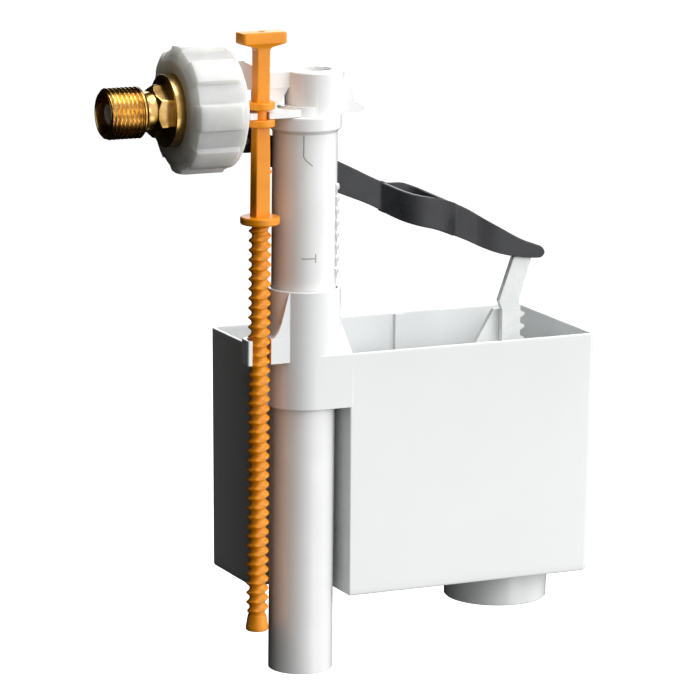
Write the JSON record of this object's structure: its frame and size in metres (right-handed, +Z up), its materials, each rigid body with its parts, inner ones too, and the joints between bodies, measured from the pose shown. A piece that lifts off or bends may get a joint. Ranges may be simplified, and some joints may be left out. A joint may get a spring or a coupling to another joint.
{
  "type": "float valve",
  "caption": "Side-inlet cistern float valve: threaded metal inlet, big union nut, servo valve head, outlet column, open bucket with float, black lever and a long adjusting screw.",
  "frame": {"origin": "on the inlet axis, at the inner end of the inlet thread", "axes": "+Z up; -X out of the inlet towards the supply, +X along the inlet axis into the valve; +Y to the back, away from the adjusting screw"},
  "size_m": [0.2175, 0.0832, 0.2698],
  "materials": {
    "brass": "turned and lightly polished",
    "grey_plastic": "moulded",
    "rubber": "moulded",
    "natural_plastic": "moulded, slightly translucent",
    "white_plastic": "moulded, satin gloss",
    "steel": "drawn wire",
    "orange_plastic": "moulded, satin gloss",
    "bucket_plastic": "moulded, gloss",
    "black_plastic": "moulded, satin",
    "foam": "expanded bead foam"
  },
  "bodies": {
    "valve": {"brass_inlet_connector": "brass", "inlet_strainer": "grey_plastic", "flow_restrictor": "grey_plastic", "inlet_gasket": "rubber", "valve_seat": "white_plastic", "metering_pin": "steel", "pressure_cover": "white_plastic", "cover_o_ring": "rubber", "valve_body": "white_plastic", "column_o_ring": "rubber", "column_tube": "white_plastic", "lever_pivot_pin": "steel"},
    "nut": {"union_nut": "natural_plastic"},
    "membrane": {"diaphragm": "rubber"},
    "arm": {"lever": "black_plastic", "pilot_seal_pad": "rubber", "link_pin": "steel"},
    "link": {"link_rod": "natural_plastic"},
    "float": {"float_post": "natural_plastic", "float_block": "foam"},
    "tub": {"bucket": "bucket_plastic", "drain_flap_pin": "steel"},
    "flap": {"drain_flap": "rubber"},
    "screw": {"adjusting_screw": "orange_plastic"}
  },
  "joints": [
    {"name": "bucket_height", "type": "slide", "parent": "valve", "child": "tub", "axis": [0, 0, 1], "range_m": [-0.03, 0.012]},
    {"name": "screw_turn", "type": "hinge", "parent": "valve", "child": "screw", "pos_m": [0.0508, -0.0082, 0], "axis": [0, 0, 1], "range_deg": [-1090, 2710]},
    {"name": "lever_swing", "type": "hinge", "parent": "valve", "child": "arm", "pos_m": [0.047, 0.002, -0.014], "axis": [0, -1, 0], "range_deg": [0, 9.5]},
    {"name": "link_swing", "type": "hinge", "parent": "arm", "child": "link", "pos_m": [0.183, 0.0175, -0.071], "axis": [0, -1, 0], "range_deg": [-9.6, 0.1]},
    {"name": "link_slide", "type": "slide", "parent": "link", "child": "float", "axis": [0, 0, 1], "range_m": [-0.0301, 0.0121]},
    {"name": "nut_turn", "type": "hinge", "parent": "valve", "child": "nut", "pos_m": [0.027, 0, 0], "axis": [1, 0, 0], "continuous": true},
    {"name": "diaphragm_lift", "type": "slide", "parent": "valve", "child": "membrane", "axis": [1, 0, 0], "range_m": [-0.00135, 0]},
    {"name": "flap_swing", "type": "hinge", "parent": "tub", "child": "flap", "pos_m": [0.1594, 0.021, -0.2091], "axis": [0, 1, 0], "range_deg": [-12, 0]}
  ],
  "couplings": [
    {"joint": "screw_turn", "follows": "bucket_height", "rad_per_m": -1570.8},
    {"joint": "link_slide", "follows": "bucket_height", "ratio": 1},
    {"joint": "link_swing", "follows": "lever_swing", "ratio": -1}
  ]
}
